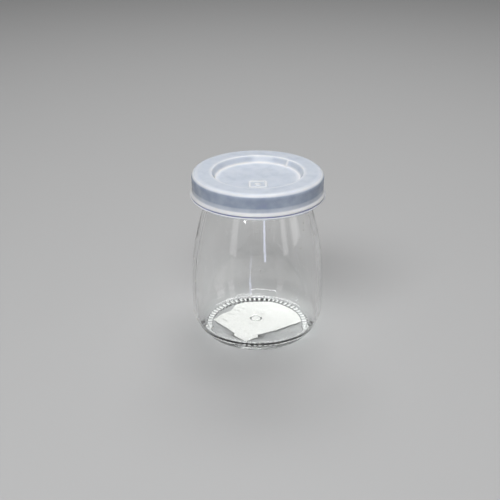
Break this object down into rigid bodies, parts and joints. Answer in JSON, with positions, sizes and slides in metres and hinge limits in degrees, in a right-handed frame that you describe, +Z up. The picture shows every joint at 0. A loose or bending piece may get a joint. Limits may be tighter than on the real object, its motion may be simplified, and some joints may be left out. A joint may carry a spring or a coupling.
{
  "type": "lidded glass pudding jar",
  "caption": "Small round clear glass pudding jar with a knurled foot, a milky plastic press-on lid and a torn paper label under its base.",
  "frame": {"origin": "middle of the base, on the surface the jar stands on", "axes": "+Z up along the jar's axis, from the base to the lid; the small panel in the lid's sunk middle is on the -Y side, which the picture's camera faces"},
  "size_m": [0.0604, 0.0604, 0.0772],
  "materials": {
    "clear_glass": "smooth clear soda-lime glass with a fine mould ripple",
    "milky_plastic": "translucent milky low-density plastic, satin",
    "white_paper": "matt white label paper with creases and one torn side"
  },
  "bodies": {
    "root": {"jar": "clear_glass", "lid": "milky_plastic", "base_label": "white_paper"}
  },
  "joints": []
}
